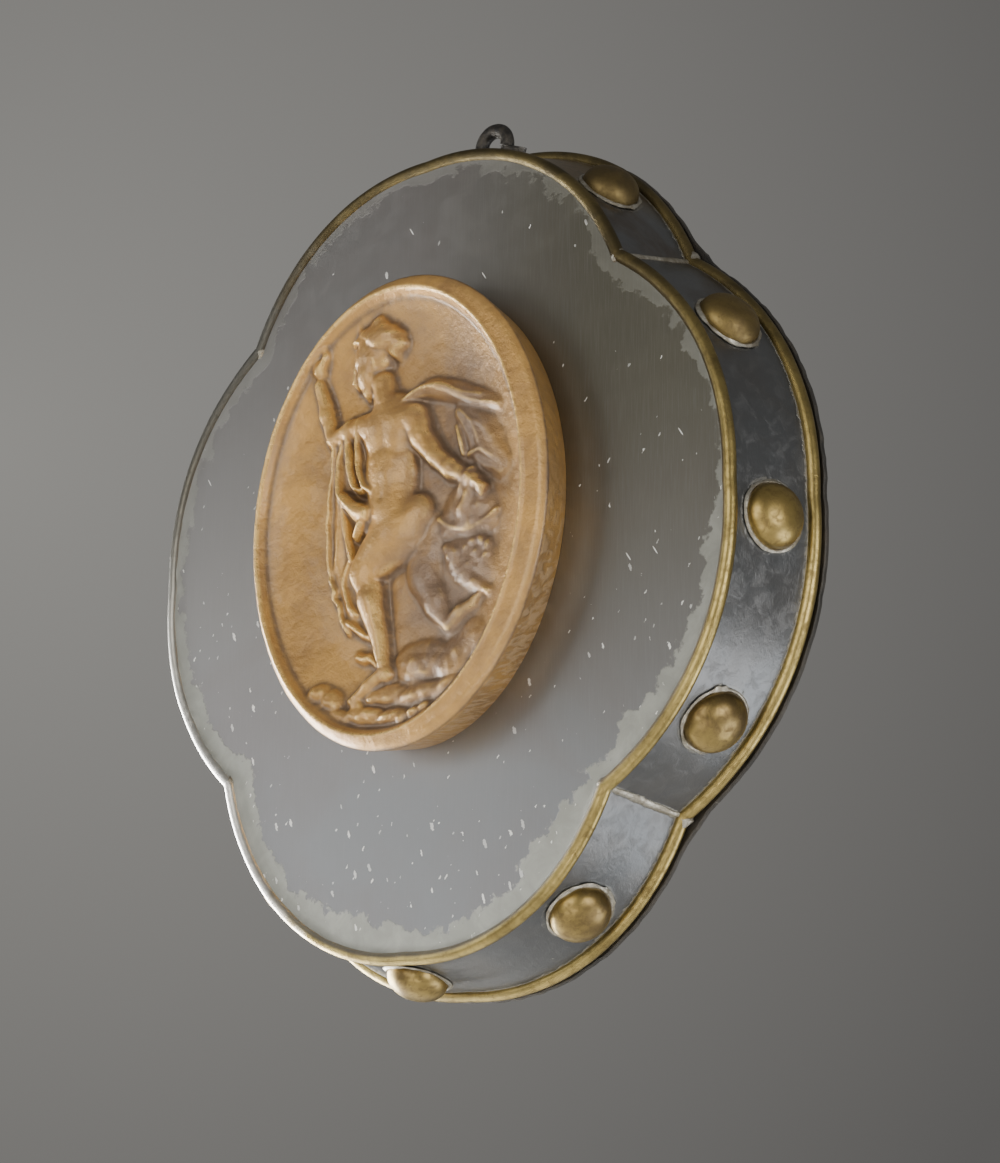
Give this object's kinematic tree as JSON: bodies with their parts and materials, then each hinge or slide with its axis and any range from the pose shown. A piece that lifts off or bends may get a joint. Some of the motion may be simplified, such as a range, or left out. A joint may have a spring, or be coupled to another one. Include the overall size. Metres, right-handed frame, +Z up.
{
  "type": "relief plaque",
  "caption": "Shallow four-lobed metal wall plaque with brass wire edges, domed studs, an oval figure relief and a hanging eye.",
  "frame": {"origin": "on the axis of the hanging eye's hole, in the plane of the plaque's back, where the nail or hook comes out of the wall", "axes": "+Z up as the plaque hangs, +Y out of its back into the wall, so the face looks towards -Y; +X is to the right for a viewer"},
  "size_m": [0.1384, 0.028, 0.1588],
  "materials": {
    "face_sheet": "worn satin with a paler soldered edge",
    "band_sheet": "dark satin",
    "back_sheet": "dark oxidised",
    "brass_wire": "aged satin",
    "brass_stud": "aged satin",
    "copper": "warm copper patina, rubbed bright on high edges",
    "iron": "dark, rough"
  },
  "bodies": {
    "root": {"face_plate": "face_sheet", "side_band": "band_sheet", "back_plate": "back_sheet", "front_wire": "brass_wire", "back_wire": "brass_wire", "medallion": "copper", "hanging_loop": "iron", "stud_right_1": "brass_stud", "stud_right_2": "brass_stud", "stud_right_3": "brass_stud", "stud_bottom_1": "brass_stud", "stud_bottom_2": "brass_stud", "stud_bottom_3": "brass_stud", "stud_left_1": "brass_stud", "stud_left_2": "brass_stud", "stud_left_3": "brass_stud", "stud_top_1": "brass_stud", "stud_top_2": "brass_stud"}
  },
  "joints": []
}
